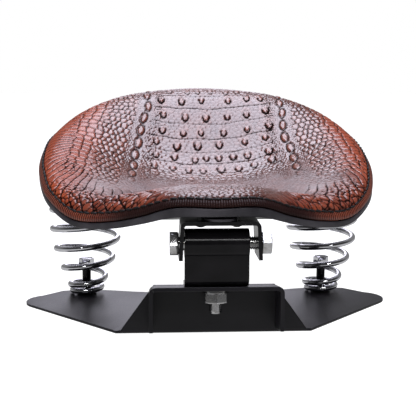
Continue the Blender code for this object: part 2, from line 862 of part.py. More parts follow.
def spring_perches(pan, pan_normals, black, bright, parent):
    """Cups under the pan that the top coils sit against, their tops cut to the pan."""
    low = pan - pan_normals * PERCH_GAP
    high = pan + np.array([0.0, 0.0, PERCH_CUTTER_H])
    stack = [list(ring) for ring in low] + [list(ring) for ring in high[::-1]]
    solid = bmesh.new()
    loft(solid, stack, looped=False)
    shape = put("perch_cutter", solid, None, collection=cutters)
    seat_z = SPRING_TOP_Z + GAP
    outside = SPRING_TOP_R - MM
    inside = outside - 2 * WIRE_R
    for word, side in (("left", -1), ("right", 1)):
        x = side * SPRING_X
        y = WALL_Y + SPRING_Y
        sections = [
            (-PERCH_LIP, PERCH_BORE_R, 0),
            (-PERCH_LIP, inside - PERCH_CHAMFER, 0),
            (-PERCH_LIP + PERCH_CHAMFER, inside, 0),
            (0.0, inside, 0),
            (0.0, outside, 0),
            (PERCH_BLANK_H, outside, 0),
            (PERCH_BLANK_H, PERCH_BORE_R, 0),
        ]
        perch = turned(sections, along((0, 0, 1), (x, y, seat_z)), looped=True)
        item = put(f"spring_perch_{word}", perch, black, parent, smooth=True)
        cut(item, shape)
        head = (x, y, seat_z - PERCH_LIP - GAP)
        top = perch_nut_z()
        bolt_length = top + PERCH_BOLT_END - head[2]
        bolt = turned(
            bolt_sections(PERCH_AF, PERCH_HEAD_H, SCREW_R, bolt_length, 0.4 * MM),
            along((0, 0, 1), head),
            sides=12,
        )
        put(f"perch_bolt_{word}", bolt, bright, parent, smooth=True)
        nut = turned(
            nut_sections(PERCH_AF, PERCH_NUT_H, SCREW_R + GAP, 0.4 * MM),
            along((0, 0, 1), (x, y, top + PERCH_NUT_STAND)),
            looped=True,
            sides=12,
        )
        put(f"perch_nut_{word}", nut, bright, parent, smooth=True)


def trim_rings():
    """Strip under the leather's edge, round the pan's rim: a thin upright ring."""
    rings = []
    for inset, drop in ((GAP, 0.0), (TRIM_T, 0.0), (TRIM_T, 1.0), (GAP, 1.0)):
        ring = []
        for angle in seat_angles():
            top = around(EDGE_Z, angle) - TRIM_GAP
            height = around(TRIM_H, angle) - TRIM_GAP
            reach = around(RIM_R, angle) - inset
            ring.append(seat_point(angle, reach, top - height * drop))
        rings.append(ring)
    return rings


def closed_ring(name, rings, material, parent):
    mesh_data = bmesh.new()
    loft(mesh_data, rings, looped=True)
    return put(name, mesh_data, material, parent, smooth=True)


def rim_stitching(cover, normals, material, parent):
    """A cord of thread lying on the seam."""
    seam = cover[-2]
    out = normals[-2]
    down = cover[-1] - cover[-2]
    down = down / np.linalg.norm(down, axis=1, keepdims=True)
    rings = []
    for step in range(6):
        angle = 2 * math.pi * step / 6
        lift = (STITCH_R + GAP + 0.15 * MM) + STITCH_R * math.sin(angle)
        ring = seam + out * lift + down * (STITCH_R * math.cos(angle))
        rings.append([tuple(place) for place in ring])
    return closed_ring("rim_stitching", rings, material, parent)


def cover_rivets(pan, pan_normals, material, parent):
    """Round-headed rivets round the underside of the pan, clear of the nose."""
    sections = [
        (0.0, 4.0 * MM, 0),
        (0.9 * MM, 3.4 * MM, 0),
        (1.5 * MM, 1.8 * MM, 0),
    ]
    for number, angle in enumerate(RIVET_ANGLES):
        index = round(angle * SIDES / 360) % SIDES
        normal = Vector(pan_normals[RIVET_RING, index])
        place = Vector(pan[RIVET_RING, index]) - normal * RIVET_STAND
        rivet = turned(sections, along(-normal, place), sides=12)
        put(f"cover_rivet_{number + 1}", rivet, material, parent, smooth=True)


def bracket_spacer(material, parent):
    """Pad between the pivot bracket and the pan."""
    centre = (BRACKET_SHIFT_X, WALL_Y + SPACER_Y, BRACKET_TOP_Z + GAP)
    place = along((0, 0, 1), centre)
    sections = [(0.0, SPACER_R, 0), (SPACER_H, SPACER_R, 0)]
    return put("bracket_spacer", turned(sections, place), material, parent, smooth=True)


def build():
    clear_scene()
    powder_black = finish_material("powder_black", (0.020, 0.019, 0.022), 0.42, 0.0)
    gloss_black = finish_material("gloss_black", (0.008, 0.008, 0.009), 0.12, 0.0)
    chrome = finish_material("chrome", (0.62, 0.62, 0.64), 0.06, 1.0)
    zinc = finish_material("zinc_plate", (0.55, 0.55, 0.57), 0.22, 1.0)
    bronze = finish_material("bronze", (0.45, 0.30, 0.14), 0.35, 1.0)
    pan_black = finish_material("pan_black", (0.012, 0.012, 0.013), 0.30, 0.0)
    leather = finish_material("leather", (0.20, 0.062, 0.026), 0.22, 0.0)
    thread = finish_material("thread", (0.012, 0.011, 0.011), 0.60, 0.0)
    rubber = finish_material("trim_rubber", (0.035, 0.034, 0.040), 0.45, 0.0)
    foam = finish_material("foam", (0.55, 0.50, 0.38), 0.90, 0.0)

    base_plate(powder_black)
    front_bracket(powder_black)
    hinge_block(gloss_black)
    pivot_bush(bronze)
    foot_fasteners(zinc)
    for word, side in (("left", -1), ("right", 1)):
        spring(f"spring_{word}", side, chrome)
    spring_posts(gloss_black, chrome)

    pivot = bpy.data.objects.new("seat_pivot", None)
    pivot.location = (0.0, WALL_Y + PIVOT_Y, PIVOT_Z)
    parts.objects.link(pivot)
    bpy.context.view_layer.update()

    pivot_bracket(gloss_black, pivot)
    pivot_fasteners(zinc, pivot)
    bracket_fasteners(zinc, pivot)
    bracket_spacer(rubber, pivot)

    cover = cover_rings()
    cover_normals = ring_normals(cover)
    cover_normals[-1] = level(cover_normals[-1])
    pan = pan_rings()
    pan_normals = ring_normals(pan)
    pan_normals[-1] = (0.0, 0.0, 1.0)
    seat_pan(pan, pan_normals, pan_black, pivot)
    foam_cushion(cover, cover_normals, pan, pan_normals, foam, pivot)
    spring_perches(pan, pan_normals, pan_black, zinc, pivot)
    seat_shell(
        "leather_cover",
        cover[:-1],
        cover_normals[:-1],
        LEATHER_T,
        leather,
        pivot,
        True,
    )
    band = cover[-2:].copy()
    band[0] += (band[1] - band[0]) * (GAP / BAND_WIDTH * 1.2)
    seat_shell(
        "border_band", band, cover_normals[-2:], LEATHER_T, leather, pivot, False
    )
    closed_ring("edge_trim", trim_rings(), rubber, pivot)
    rim_stitching(cover, cover_normals, thread, pivot)
    cover_rivets(pan, pan_normals, zinc, pivot)


build()
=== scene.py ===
import json
import math
from collections import namedtuple

import bmesh
import bpy
import numpy as np
from mathutils import Matrix, Vector


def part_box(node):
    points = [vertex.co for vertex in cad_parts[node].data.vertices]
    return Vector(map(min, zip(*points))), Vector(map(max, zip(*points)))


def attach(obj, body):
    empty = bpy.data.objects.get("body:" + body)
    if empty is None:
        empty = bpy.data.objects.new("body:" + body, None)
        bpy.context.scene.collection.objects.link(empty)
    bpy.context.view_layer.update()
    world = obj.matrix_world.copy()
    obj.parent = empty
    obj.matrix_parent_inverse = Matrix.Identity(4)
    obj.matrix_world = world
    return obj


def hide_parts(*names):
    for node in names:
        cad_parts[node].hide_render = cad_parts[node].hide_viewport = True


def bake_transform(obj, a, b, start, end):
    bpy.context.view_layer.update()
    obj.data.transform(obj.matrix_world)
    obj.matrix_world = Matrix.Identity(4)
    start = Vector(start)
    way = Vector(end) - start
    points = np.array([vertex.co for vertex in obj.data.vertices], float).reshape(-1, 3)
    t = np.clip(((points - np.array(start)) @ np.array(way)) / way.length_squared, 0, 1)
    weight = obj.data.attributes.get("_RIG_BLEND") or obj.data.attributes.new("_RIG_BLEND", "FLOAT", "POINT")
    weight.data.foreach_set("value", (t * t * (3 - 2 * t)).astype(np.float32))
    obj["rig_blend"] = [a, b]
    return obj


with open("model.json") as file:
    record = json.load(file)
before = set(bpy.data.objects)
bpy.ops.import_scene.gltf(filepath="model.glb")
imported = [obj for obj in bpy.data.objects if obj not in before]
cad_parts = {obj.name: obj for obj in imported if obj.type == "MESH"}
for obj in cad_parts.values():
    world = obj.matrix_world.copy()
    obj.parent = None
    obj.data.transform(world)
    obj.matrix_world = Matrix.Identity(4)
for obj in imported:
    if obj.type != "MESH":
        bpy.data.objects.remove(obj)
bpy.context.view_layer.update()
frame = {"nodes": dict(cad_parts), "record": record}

MM = 0.001

# Fixed places, read from the frame.
WALL_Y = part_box("base_plate")[0].y
SPRING_FOOT = [(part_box(f"spring_post_{s}")[0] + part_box(f"spring_post_{s}")[1]) / 2
               for s in ("left", "right")]
SPRING_LOW_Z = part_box("spring_left")[0].z
SPRING_HIGH_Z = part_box("spring_left")[1].z

# The seat's driving sizes: where its dish is lowest, and the thickness of its layers.
SEAT_MIDDLE_Y = WALL_Y + 85 * MM
DISH_Z = 98 * MM
DISH_POWER = 1.5
PAN_DISH_Z = 78 * MM
BAND_WIDTH = 7.5 * MM
LEATHER_T = 2.4 * MM
PAN_T = 2.5 * MM
TRIM_T = 2.8 * MM
GAP = 0.3 * MM
PAN_LIP = 0.4 * MM

# How far from the middle to the rim the highest line runs, on the cover and the pan.
CREST_SHARE = 0.79
PAN_CREST_SHARE = 0.88

# The seat's form: half tables in millimetres, one value every 15 degrees from the rear
# to the nose, as the pan and its cover were cut.
RIM_R = [156, 158, 162, 163, 158, 148, 140, 134, 125, 115, 113.5, 120, 122.5]
CREST_IN = [15, 15, 14, 13, 13, 13, 13, 14, 17, 22, 28, 32, 33]
CREST_Z = [181.5, 179.5, 174, 162, 146, 131, 118, 107.5, 102, 105.5, 110.5, 114.5, 115]
EDGE_Z = [161.5, 159.5, 154.5, 144, 132.5, 120.5, 109, 96, 85, 86.3, 92.8, 102, 102.3]
TRIM_H = [5, 5, 5, 5, 5, 5, 5, 5, 5, 5.5, 6, 7.5, 6.5]
PAN_CREST_Z = [158, 156, 150.5, 138.5, 123, 108.5, 97, 88, 83, 86, 91.5, 94.8, 95.2]


# ------------------------------------------------------------------ small helpers


class Finish:
    """A material under construction: its shader and the few nodes that finishes share."""

    def __init__(self, name, **values):
        self.material = bpy.data.materials.new(name)
        self.material.use_nodes = True
        self.tree = self.material.node_tree
        self.shader = self.tree.nodes["Principled BSDF"]
        self.place = self.tree.nodes.new("ShaderNodeTexCoord").outputs["Object"]
        for key, value in values.items():
            socket = self.shader.inputs[key.replace("_", " ")]
            socket.default_value = (*value, 1.0) if isinstance(value, tuple) else value

    def link(self, source, target):
        self.tree.links.new(source, target)

    def stretched(self, scale):
        node = self.tree.nodes.new("ShaderNodeMapping")
        node.inputs["Scale"].default_value = scale
        self.link(self.place, node.inputs["Vector"])
        return node.outputs["Vector"]

    def noise(self, scale, detail=3.0, roughness=0.55, vector=None):
        node = self.tree.nodes.new("ShaderNodeTexNoise")
        node.inputs["Scale"].default_value = scale
        node.inputs["Detail"].default_value = detail
        node.inputs["Roughness"].default_value = roughness
        self.link(vector or self.place, node.inputs["Vector"])
        return node.outputs["Fac"]

    def cells(self, scale, feature="F1"):
        node = self.tree.nodes.new("ShaderNodeTexVoronoi")
        node.feature = feature
        node.inputs["Scale"].default_value = scale
        self.link(self.place, node.inputs["Vector"])
        return node.outputs["Distance"]

    def attribute(self, name):
        node = self.tree.nodes.new("ShaderNodeAttribute")
        node.attribute_name = name
        return node.outputs["Fac"]

    def remap(self, source, low, high, to_low, to_high):
        node = self.tree.nodes.new("ShaderNodeMapRange")
        for key, value in (("From Min", low), ("From Max", high),
                           ("To Min", to_low), ("To Max", to_high)):
            node.inputs[key].default_value = value
        self.link(source, node.inputs["Value"])
        return node.outputs["Result"]

    def math(self, operation, first, second):
        node = self.tree.nodes.new("ShaderNodeMath")
        node.operation = operation
        for socket, value in zip(node.inputs, (first, second)):
            if isinstance(value, (int, float)):
                socket.default_value = value
            else:
                self.link(value, socket)
        return node.outputs["Value"]

    def mix(self, factor, first, second):
        """Colours: a tuple is a plain colour, anything else a socket."""
        node = self.tree.nodes.new("ShaderNodeMix")
        node.data_type = "RGBA"
        self.link(factor, node.inputs["Factor"])
        for socket, value in zip((node.inputs[6], node.inputs[7]), (first, second)):
            if isinstance(value, tuple):
                socket.default_value = (*value, 1.0)
            else:
                self.link(value, socket)
        return node.outputs[2]

    def patches(self, source, low, high, first, second):
        """One colour running into another as a source goes from low to high."""
        return self.mix(self.remap(source, low, high, 0, 1), first, second)

    def colour(self, source):
        self.link(source, self.shader.inputs["Base Color"])

    def roughness(self, source):
        self.link(source, self.shader.inputs["Roughness"])

    def bump(self, height, depth):
        """Depth in metres for a height of one."""
        node = self.tree.nodes.new("ShaderNodeBump")
        node.inputs["Strength"].default_value = 1.0
        node.inputs["Distance"].default_value = depth
        self.link(height, node.inputs["Height"])
        self.link(node.outputs["Normal"], self.shader.inputs["Normal"])


def finished(name, mesh_data, material, smooth_angle=40):
    """A mesh object at the origin, with one material and smooth shading up to an angle."""
    mesh = bpy.data.meshes.new(name)
    mesh_data.to_mesh(mesh)
    mesh_data.free()
    mesh.materials.append(material)
    mesh.shade_smooth()
    if smooth_angle < 180:
        mesh.set_sharp_from_angle(angle=math.radians(smooth_angle))
    item = bpy.data.objects.new(name, mesh)
    bpy.context.scene.collection.objects.link(item)
    return item


def worked(node, body, slot, width, angle=40):
    """A copy of a CAD piece with its edges broken as a file or a press leaves them: width
    in millimetres, and only where faces meet at more than an angle."""
    copy = bmesh.new()
    copy.from_mesh(frame["nodes"][node].data)
    bmesh.ops.remove_doubles(copy, verts=copy.verts, dist=0.01 * MM)
    bmesh.ops.dissolve_limit(
        copy, angle_limit=math.radians(1), verts=copy.verts, edges=copy.edges
    )
    for edge in copy.edges:
        edge.smooth = True
    item = finished(f"{node}_finished", copy, FINISHES[slot], angle)
    edges = item.modifiers.new("broken edges", "BEVEL")
    edges.limit_method = "ANGLE"
    edges.angle_limit = math.radians(angle)
    edges.width = width * MM
    edges.segments = 3
    edges.harden_normals = True
    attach(item, body)
    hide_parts(node)


# ------------------------------------------------------------------ finishes


def powder_black():
    """Satin powder coat with its faint orange peel."""
    coat = Finish("powder_black", Metallic=0.0, IOR=1.34)
    cloud = coat.noise(14, 4)
    grain = coat.noise(900, 2, 0.6)
    peel = coat.noise(260, 3, 0.5)
    dye = coat.patches(cloud, 0.35, 0.65, (0.0035, 0.0032, 0.0045), (0.0065, 0.0060, 0.0080))
    coat.colour(dye)
    coat.roughness(coat.remap(coat.math("ADD", grain, cloud), 0.7, 1.3, 0.33, 0.43))
    coat.bump(coat.math("ADD", grain, peel), 0.03 * MM)
    return coat.material


def gloss_black():
    """Baked enamel: deep black, near mirror, slightly wavy."""
    coat = Finish("gloss_black", Metallic=0.0, IOR=1.28)
    wave = coat.noise(55, 3, 0.45)
    speck = coat.noise(700, 2)
    dye = coat.patches(wave, 0.3, 0.7, (0.0025, 0.0023, 0.0027), (0.005, 0.0046, 0.0054))
    coat.colour(dye)
    coat.roughness(coat.remap(speck, 0.35, 0.65, 0.10, 0.18))
    coat.bump(coat.math("ADD", wave, coat.math("MULTIPLY", speck, 0.08)), 0.12 * MM)
    return coat.material


def chrome():
    """Chrome plate over drawn wire: bright, with hair lines and a few dull spots."""
    plate = Finish("chrome", Metallic=1.0)
    haze = plate.noise(60, 4)
    hair = plate.noise(1, 2, 0.5, plate.stretched((300, 300, 2200)))
    dye = plate.patches(haze, 0.4, 0.7, (0.86, 0.86, 0.90), (0.72, 0.72, 0.77))
    plate.colour(dye)
    plate.roughness(plate.remap(plate.math("ADD", haze, hair), 0.8, 1.35, 0.03, 0.12))
    plate.bump(hair, 0.012 * MM)
    return plate.material


def zinc_plate():
    """Bright zinc on fasteners, with a dull patchy bloom."""
    plate = Finish("zinc_plate", Metallic=1.0)
    bloom = plate.noise(170, 5, 0.6)
    scratch = plate.noise(1, 3, 0.6, plate.stretched((2600, 500, 500)))
    dye = plate.patches(bloom, 0.35, 0.68, (0.74, 0.74, 0.76), (0.50, 0.49, 0.48))
    plate.colour(dye)
    plate.roughness(plate.remap(plate.math("ADD", bloom, scratch), 0.8, 1.3, 0.10, 0.26))
    plate.bump(scratch, 0.02 * MM)
    return plate.material


def bronze():
    """Sintered bronze, pricked with pores."""
    metal = Finish("bronze", Metallic=1.0)
    pores = metal.cells(1500)
    stain = metal.noise(120, 4)
    dye = metal.patches(stain, 0.35, 0.7, (0.50, 0.32, 0.15), (0.30, 0.19, 0.10))
    metal.colour(dye)
    metal.roughness(metal.remap(stain, 0.3, 0.7, 0.28, 0.45))
    metal.bump(pores, 0.05 * MM)
    return metal.material


def pan_black():
    """Black paint over the pressed pan, a little dusty in its dull patches."""
    coat = Finish("pan_black", Metallic=0.0, IOR=1.5)
    dust = coat.noise(35, 5, 0.6)
    peel = coat.noise(240, 3)
    dye = coat.patches(dust, 0.4, 0.75, (0.008, 0.008, 0.009), (0.028, 0.027, 0.029))
    coat.colour(dye)
    coat.roughness(coat.remap(dust, 0.35, 0.7, 0.26, 0.44))
    coat.bump(peel, 0.10 * MM)
    return coat.material


def trim_rubber():
    """Dark grey edging with a fine lengthwise grain."""
    strip = Finish("trim_rubber", Metallic=0.0, IOR=1.4)
    grain = strip.noise(1, 3, 0.6, strip.stretched((260, 260, 1500)))
    worn = strip.noise(45, 4)
    dye = strip.patches(worn, 0.35, 0.7, (0.012, 0.011, 0.014), (0.034, 0.031, 0.037))
    strip.colour(dye)
    strip.roughness(strip.remap(grain, 0.3, 0.7, 0.34, 0.52))
    strip.bump(grain, 0.10 * MM)
    return strip.material


def thread():
    """Waxed black thread with its twist."""
    cord = Finish("thread", Metallic=0.0, IOR=1.3)
    ply = cord.noise(1, 2, 0.5, cord.stretched((900, 900, 2400)))
    dye = cord.patches(ply, 0.35, 0.65, (0.003, 0.003, 0.003), (0.012, 0.010, 0.011))
    cord.colour(dye)
    cord.roughness(cord.remap(ply, 0.3, 0.7, 0.38, 0.6))
    cord.bump(ply, 0.12 * MM)
    return cord.material


def foam():
    """Open-cell cushion foam."""
    block = Finish("foam", Metallic=0.0)
    cells = block.cells(700)
    age = block.noise(30, 4)
    dye = block.patches(age, 0.35, 0.7, (0.62, 0.55, 0.38), (0.48, 0.40, 0.24))
    block.colour(dye)
    block.roughness(block.remap(cells, 0.0, 0.6, 0.95, 0.8))
    block.bump(cells, 0.5 * MM)
    return block.material


def leather():
    """Embossed hide: dark dye, red-brown rubbed through on the scales, painted shade deepening
    the grooves, and a clear dressing over all of it but the grooves."""
    hide = Finish("leather", Metallic=0.0, IOR=1.45, Coat_Roughness=0.13, Coat_IOR=1.6)
    groove = hide.attribute("groove")
    rubbed = hide.attribute("rubbed")
    warm = hide.attribute("warm")
    mottle = hide.noise(42, 5, 0.62)
    pores = hide.noise(1150, 3, 0.6)
    crease = hide.cells(520, "DISTANCE_TO_EDGE")
    ground = hide.patches(mottle, 0.3, 0.7, (0.030, 0.012, 0.013), (0.055, 0.021, 0.019))
    scale = hide.patches(mottle, 0.3, 0.7, (0.120, 0.034, 0.022), (0.190, 0.054, 0.032))
    wing = hide.patches(mottle, 0.3, 0.7, (0.170, 0.023, 0.006), (0.245, 0.040, 0.010))
    worn = hide.math("MULTIPLY", rubbed, hide.remap(pores, 0.3, 0.7, 0.8, 1.15))
    dyed = hide.mix(worn, ground, scale)
    dyed = hide.mix(hide.math("MULTIPLY", warm, 0.92), dyed, wing)
    # Painted shade: the grooves are darkened over the dye towards near black.
    dyed = hide.mix(hide.remap(groove, 0.0, 0.45, 0, 0.6), dyed, (0.020, 0.005, 0.004))
    dyed = hide.mix(hide.remap(groove, 0.3, 0.8, 0, 0.97), dyed, (0.003, 0.002, 0.002))
    hide.colour(dyed)
    between_grooves = hide.remap(groove, 0.1, 0.7, 0.8, 0.0)
    off_the_wings = hide.remap(warm, 0, 1, 1.0, 0.45)
    dressing = hide.math("MULTIPLY", between_grooves, off_the_wings)
    hide.link(dressing, hide.shader.inputs["Coat Weight"])
    shine = hide.remap(groove, 0.1, 0.7, 0.30, 0.03)
    hide.link(shine, hide.shader.inputs["Specular IOR Level"])
    dull = hide.remap(hide.math("ADD", pores, mottle), 0.75, 1.3, 0.26, 0.40)
    hide.roughness(hide.math("MAXIMUM", dull, hide.math("MULTIPLY", groove, 0.9)))
    grain = hide.math("MULTIPLY", pores, 0.5)
    fine = hide.math("ADD", grain, hide.remap(crease, 0.0, 0.12, -0.5, 0.0))
    hide.bump(fine, 0.06 * MM)
    return hide.material


FINISHES = {
    make.__name__: make()
    for make in (powder_black, gloss_black, chrome, zinc_plate, bronze, pan_black,
                 trim_rubber, thread, foam, leather)
}


def dress_frame():
    """Every carried-over piece takes the finish of its record slot."""
    for part in frame["record"]["subparts"]:
        item = frame["nodes"][part["node"]]
        item.data.materials.clear()
        item.data.materials.append(FINISHES[part["material_slot"]])


# ------------------------------------------------------------------ seat surface


def smooth_step(value):
    value = np.clip(value, 0, 1)
    return value * value * (3 - 2 * value)


def around(values, angle):
    """Smooth value at angles in degrees, from a half table mirrored to a full turn."""
    table = np.array(values, float) * MM
    ring = np.concatenate([table, table[-2:0:-1]])
    place = np.mod(angle, 360) / 15
    base = np.floor(place).astype(int)
    part = place - base
    a, b, c, d = (ring[(base + k) % len(ring)] for k in (-1, 0, 1, 2))
    curve = 2 * b + (c - a) * part
    curve += (2 * a - 5 * b + 4 * c - d) * part**2
    curve += (3 * b - a - 3 * c + d) * part**3
    return curve / 2


def seat_point(angle, reach, z):
    turn = np.radians(angle)
    x = reach * np.sin(turn)
    y = SEAT_MIDDLE_Y + reach * np.cos(turn)
    return np.stack([x, y, z + 0 * x], axis=-1)


def roll_point(angle, roll):
    """The rolled edge of the cover: 0 degrees is the crest, 90 the lower edge."""
    bend = np.radians(roll)
    width = around(CREST_IN, angle)
    crest = around(RIM_R, angle) - width
    drop = around(CREST_Z, angle) - around(EDGE_Z, angle)
    z = around(CREST_Z, angle) - drop * (1 - np.cos(bend))
    return seat_point(angle, crest + width * np.sin(bend), z)


def seam_roll(angle):
    """Roll angle at which the border band is one band width deep."""
    turns = np.arange(0, 360, 2.0)
    edge = roll_point(turns, 90)
    found = np.full(len(turns), 90.0)
    for roll in np.arange(90, 5, -0.5):
        near = np.linalg.norm(roll_point(turns, roll) - edge, axis=-1) < BAND_WIDTH
        found = np.where(near, roll, found)
    return np.interp(np.mod(angle, 360), np.append(turns, 360), np.append(found, found[0]))


def cover_point(angle, share):
    """The leather's outer face: share 0 is the dish's middle and 1 the sewn seam."""
    inside = np.minimum(share / CREST_SHARE, 1)
    crest = around(RIM_R, angle) - around(CREST_IN, angle)
    rise = around(CREST_Z, angle) - DISH_Z
    floor = seat_point(angle, crest * inside, DISH_Z + rise * smooth_step(inside**DISH_POWER))
    outside = np.clip((share - CREST_SHARE) / (1 - CREST_SHARE), 0, 1)
    rolled = roll_point(angle, outside * seam_roll(angle))
    return np.where((share < CREST_SHARE)[..., None], floor, rolled)


def pan_point(angle, share):
    """The pan's underside: share 0 is its middle and 1 its rim."""
    rim = around(RIM_R, angle) - TRIM_T - 2 * GAP
    crest = PAN_CREST_SHARE * rim
    reach = rim * share
    high = around(PAN_CREST_Z, angle)
    low = around(EDGE_Z, angle) - around(TRIM_H, angle) + PAN_LIP
    dished = PAN_DISH_Z + (high - PAN_DISH_Z) * smooth_step((reach / crest) ** DISH_POWER)
    over = np.maximum(0, (reach - crest) / (rim - crest))
    turned = high + (low - high) * over**2
    return seat_point(angle, reach, np.where(reach < crest, dished, turned))


SHARE_STEPS = 80
TURN_STEP = 3


def hide_place(angle, share):
    """Flattened place on the hide in millimetres: x to the right, y to the rear."""
    shares = np.linspace(0, 1, SHARE_STEPS + 1)
    turns = np.arange(0.0, 360 + TURN_STEP, TURN_STEP)
    rays = cover_point(turns[:, None] + 0 * shares, shares[None, :] + 0 * turns[:, None])
    steps = np.linalg.norm(np.diff(rays, axis=1), axis=-1)
    length = np.concatenate([np.zeros((len(turns), 1)), np.cumsum(steps, axis=1)], axis=1)
    row = np.mod(angle, 360) / TURN_STEP
    column = np.clip(share, 0, 1) * SHARE_STEPS
    row_0 = row.astype(int)
    row_1 = np.minimum(row_0 + 1, len(turns) - 1)
    column_0 = np.minimum(column.astype(int), SHARE_STEPS - 1)
    row_part = row - row_0
    column_part = column - column_0
    near = length[row_0, column_0] * (1 - row_part) + length[row_1, column_0] * row_part
    far = length[row_0, column_0 + 1] * (1 - row_part)
    far += length[row_1, column_0 + 1] * row_part
    arc = (near * (1 - column_part) + far * column_part) / MM
    turn = np.radians(angle)
    return arc * np.sin(turn), arc * np.cos(turn)


# ------------------------------------------------------------------ embossing


def scatter(row, column, seed):
    """Even numbers from 0 to 1 that belong to a cell, the same on every run."""
    wave = np.sin(row * 127.1 + column * 311.7 + seed * 74.7) * 43758.5453
    return wave - np.floor(wave)


def scales(u, v, seed, uneven, stagger):
    """Cells one unit wide: how far a place is from its cell's edge, and the cell's own
    random number."""
    base_u, base_v = np.floor(u), np.floor(v)
    first = np.full(u.shape, 9.0)
    second = np.full(u.shape, 9.0)
    owner = np.zeros(u.shape)
    for dv in (-1, 0, 1):
        cell_v = base_v + dv
        shift = stagger * np.mod(cell_v, 2)
        for du in (-2, -1, 0, 1):
            cell_u = base_u + du
            at_u = cell_u + 0.5 + shift + uneven * (scatter(cell_u, cell_v, seed) - 0.5)
            at_v = cell_v + 0.5 + uneven * (scatter(cell_u, cell_v, seed + 5) - 0.5)
            away = np.hypot(u - at_u, v - at_v)
            nearer = away < first
            second = np.where(nearer, first, np.minimum(second, away))
            owner = np.where(nearer, scatter(cell_u, cell_v, seed + 9), owner)
            first = np.where(nearer, away, first)
    return second - first, owner


def between(value, low, high, soft):
    """One inside a span, fading to nothing over a soft margin on each side."""
    return smooth_step((value - low) / soft + 0.5) * smooth_step((high - value) / soft + 0.5)


def line(distance, width):
    return np.exp(-((distance / width) ** 2))


def wobble(x, y, size, seed):
    """Slow wandering of a line, about one unit each way."""
    a = np.sin(x / size + seed) + np.sin(y / (size * 0.8) + 2.1 * seed)
    b = np.sin((x + 0.7 * y) / (size * 0.55) + 3.7 * seed)
    return 0.4 * a + 0.35 * b


# Rows of horned scales: each row's place from the dish's middle, how strongly it
# stands, and where its scales sit across the hide, all in millimetres.
HORN_ROWS = [
    (45, 0.30, (-44, -27, -12, 2, 17, 33, 48, 63)),
    (58, 0.75, (-46, -29, -14, -1, 16, 32, 47, 64)),
    (73, 0.90, (-46, -28, -8, 3, 15, 29, 43, 64)),
    (89, 1.00, (-47, -26, -5, 17, 43, 64)),
    (105, 1.00, (-42, -20, -1, 23, 48, 71)),
    (124, 1.00, (-42, -18, 5, 29, 50, 71)),
    (144, 1.00, (-45, -22, 1, 32, 53, 68)),
    (158, 0.60, (-36, -15, -3, 12, 30, 43, 55)),
]
HORN_HALF_W = 3.1
HORN_HALF_L = 4.9
HORN_DRIFT = 3.0
CREASE_HALF = 0.62
CREASE_WANDER = 1.3

# The pattern's middle line lies to the right of the seat's, more so at the rear.
HIDE_SHIFT = 9.0
HIDE_LEAN = 5.0

# Zones by their distance from the pattern's middle line: from, to and soft margin.
CENTRE_ZONE = (-99, 66, 8)
PEBBLE_ZONE = (57, 69, 5)
OUTER_PEBBLE_ZONE = (79, 86, 3)
COBBLE_ZONE = (84, 112, 5)
SQUARE_ZONE = (111, 133, 5)
WARM_FROM, WARM_OVER = 96, 34

# A column of large oval scales on each side.
OVAL_X = 74
OVAL_STEP = 16.5
OVAL_HALF_W = 3.2
OVAL_HALF_L = 6.2
OVAL_SWAY = 2.2

# Grooves fan out from a place on each side of the hide.
FAN_PLACE = (100.0, 60.0)
FAN_STEP = 0.115
FAN_PITCH = 6.6

# Fields of scales: size across and along, seed, how unevenly they lie, stagger of
# alternate rows, height of a scale over its groove, share of a scale taken by its
# shoulder, depth of the groove, strength of the painted shade in the groove and its width,
# wear of all scales and of single ones, and wear on top.
ScaleField = namedtuple(
    "ScaleField",
    "wide long seed uneven stagger rise shoulder sunk dark thin worn worn_one worn_top",
)
SMALL = ScaleField(5.4, 3.8, 91, 0.75, 0.5, 0.34, 0.40, 0.17, 0.40, 0.11, -0.09, 0.18, 0.0)
PEBBLES = ScaleField(2.5, 2.8, 21, 0.55, 0.5, 0.42, 0.45, 0.30, 0.62, 0.17, -0.10, 0.22, 0.12)
COBBLES = ScaleField(5.6, 6.4, 33, 0.62, 0.5, 0.50, 0.50, 0.25, 0.92, 0.14, 0.18, 0.32, 0.0)
SQUARES = ScaleField(8.2, 7.0, 47, 0.30, 0.15, 0.42, 0.40, 0.20, 0.92, 0.10, 0.30, 0.25, 0.0)
RUNGS = ScaleField(1.0, 9.0, 52, 0.30, 0.5, 0.0, 1.0, 0.0, 0.55, 0.06, -0.20, 0.50, 0.0)
CRUMPLE = ScaleField(1.0, 4.8, 61, 0.85, 0.5, 0.80, 0.50, 0.40, 0.75, 0.20, -0.25, 0.45, 0.0)
NOSE = ScaleField(4.6, 2.6, 75, 0.85, 0.5, 0.45, 0.50, 0.20, 0.55, 0.18, -0.10, 0.35, 0.0)
FLOOR = ScaleField(4.8, 3.6, 83, 0.70, 0.5, 0.22, 0.45, 0.11, 0.34, 0.14, -0.10, 0.20, 0.0)
BARE_WEAR = 0.30


class Relief:
    """The embossing so far: height in millimetres, painted shade in the grooves and rubbed colour."""

    def __init__(self, shape):
        self.height = np.zeros(shape)
        self.groove = np.zeros(shape)
        self.rubbed = np.full(shape, BARE_WEAR)

    def add(self, height, groove, rubbed=0.0):
        self.height += height
        self.groove += groove
        self.rubbed += rubbed

    def stamp(self, zone, across, along, field):
        """A field of scales where the zone is one."""
        u, v = across / field.wide, along / field.long
        edge, tone = scales(u, v, field.seed, field.uneven, field.stagger)
        worn = field.worn + field.worn_one * tone + field.worn_top * smooth_step(edge / 0.5)
        # Each scale's groove carries painted shade.
        self.add(
            zone * (field.rise * smooth_step(edge / field.shoulder) - field.sunk),
            zone * field.dark * line(edge, field.thin),
            zone * worn,
        )


